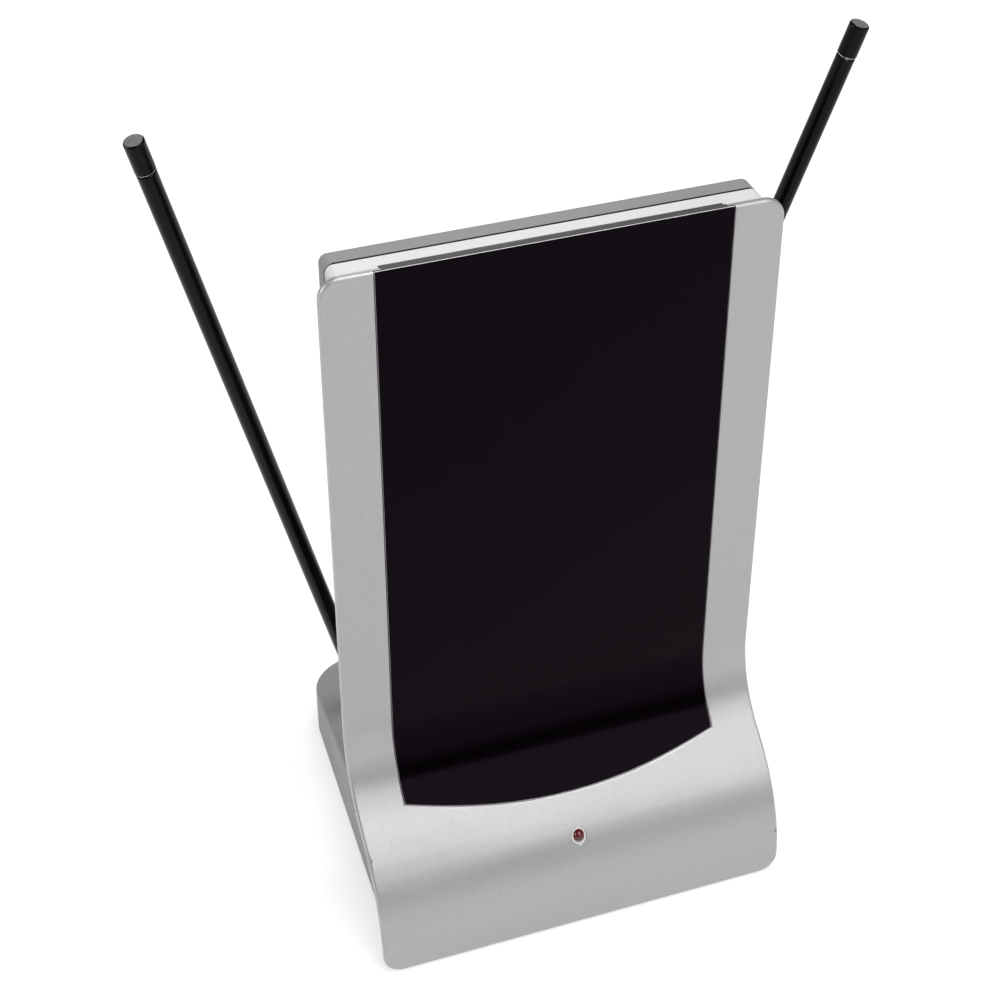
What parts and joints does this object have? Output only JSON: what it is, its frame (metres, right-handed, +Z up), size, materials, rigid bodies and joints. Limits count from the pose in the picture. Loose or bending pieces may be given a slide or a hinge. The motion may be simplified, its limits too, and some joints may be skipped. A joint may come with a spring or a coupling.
{
  "type": "amplified indoor television antenna",
  "caption": "Free-standing indoor television antenna with an S-swept silver face, gloss black panel, wedge base and a pair of swivelling, folding telescopic rods",
  "frame": {"origin": "on the table, midway across the face and midway between the front of the skirt and the end of the coaxial socket", "axes": "+X to the right seen from the front, +Y to the rear, +Z up; the face looks along -Y"},
  "size_m": [0.224, 0.1469, 0.2741],
  "materials": {
    "silver_plastic": "satin silver with a fine metallic grain",
    "black_panel": "high gloss",
    "grey_cover": "satin",
    "grey_base": "satin",
    "grey_plate": "matte",
    "plain_steel": "plain cut steel",
    "green_board": "satin coating",
    "tinned_steel": "tinned",
    "black_plastic": "matte",
    "plated_metal": "nickel plate",
    "red_lens": "clear red",
    "copper": "bare copper",
    "lead_cover": "matte",
    "screw_steel": "zinc plate",
    "brass_contact": "plain",
    "black_metal": "satin black",
    "bright_tube": "bright plate",
    "black_cap": "satin black",
    "foot_rubber": "matte"
  },
  "bodies": {
    "base": {"amplifier_board": "green_board", "ballast_plate": "plain_steel", "base_housing": "grey_base", "base_plate": "grey_plate", "base_screws": "screw_steel", "board_screws": "screw_steel", "coax_nut": "plated_metal", "coax_socket": "plated_metal", "coax_washer": "plated_metal", "cover_screws": "screw_steel", "feeder": "lead_cover", "foot_front_left": "foot_rubber", "foot_front_right": "foot_rubber", "foot_rear_left": "foot_rubber", "foot_rear_right": "foot_rubber", "front_shell": "silver_plastic", "lamp": "red_lens", "lamp_holder": "black_plastic", "lamp_leads": "lead_cover", "left_contact": "brass_contact", "left_rod_lead": "lead_cover", "neck_screws": "screw_steel", "power_socket": "black_plastic", "rear_cover": "grey_cover", "receiver_board": "green_board", "receiver_screws": "screw_steel", "receiver_trace": "copper", "right_contact": "brass_contact", "right_rod_lead": "lead_cover", "screen_panel": "black_panel", "shield_can": "tinned_steel"},
    "left_swivel": {"left_post": "black_plastic", "left_rivet": "screw_steel", "left_washer": "screw_steel", "left_post_screw": "screw_steel"},
    "left_rod": {"left_tang": "black_metal", "left_outer_tube": "black_metal"},
    "left_middle": {"left_middle_tube": "bright_tube"},
    "left_inner": {"left_inner_tube": "bright_tube"},
    "left_tip": {"left_tip_tube": "bright_tube", "left_tip_cap": "black_cap"},
    "right_swivel": {"right_post": "black_plastic", "right_rivet": "screw_steel", "right_washer": "screw_steel", "right_post_screw": "screw_steel"},
    "right_rod": {"right_tang": "black_metal", "right_outer_tube": "black_metal"},
    "right_middle": {"right_middle_tube": "bright_tube"},
    "right_inner": {"right_inner_tube": "bright_tube"},
    "right_tip": {"right_tip_tube": "bright_tube", "right_tip_cap": "black_cap"}
  },
  "joints": [
    {"name": "left_swivel", "type": "hinge", "parent": "base", "child": "left_swivel", "pos_m": [-0.0453, 0.03409, 0.02818], "axis": [0, 0, 1], "range_deg": [-118.4, 31.6]},
    {"name": "left_fold", "type": "hinge", "parent": "left_swivel", "child": "left_rod", "pos_m": [-0.0453, 0.03409, 0.02818], "axis": [0.4756, -0.8796, 0], "range_deg": [-16.5, 73.5]},
    {"name": "left_middle_slide", "type": "slide", "parent": "left_rod", "child": "left_middle", "axis": [-0.2498, -0.1351, 0.9588], "range_m": [0, 0.21]},
    {"name": "left_inner_slide", "type": "slide", "parent": "left_middle", "child": "left_inner", "axis": [-0.2498, -0.1351, 0.9588], "range_m": [0, 0.21]},
    {"name": "left_tip_slide", "type": "slide", "parent": "left_inner", "child": "left_tip", "axis": [-0.2498, -0.1351, 0.9588], "range_m": [0, 0.21]},
    {"name": "right_swivel", "type": "hinge", "parent": "base", "child": "right_swivel", "pos_m": [0.0453, 0.03409, 0.02818], "axis": [0, 0, 1], "range_deg": [-31.6, 118.4]},
    {"name": "right_fold", "type": "hinge", "parent": "right_swivel", "child": "right_rod", "pos_m": [0.0453, 0.03409, 0.02818], "axis": [0.4756, 0.8796, 0], "range_deg": [-16.5, 73.5]},
    {"name": "right_middle_slide", "type": "slide", "parent": "right_rod", "child": "right_middle", "axis": [0.2498, -0.1351, 0.9588], "range_m": [0, 0.21]},
    {"name": "right_inner_slide", "type": "slide", "parent": "right_middle", "child": "right_inner", "axis": [0.2498, -0.1351, 0.9588], "range_m": [0, 0.21]},
    {"name": "right_tip_slide", "type": "slide", "parent": "right_inner", "child": "right_tip", "axis": [0.2498, -0.1351, 0.9588], "range_m": [0, 0.21]}
  ]
}
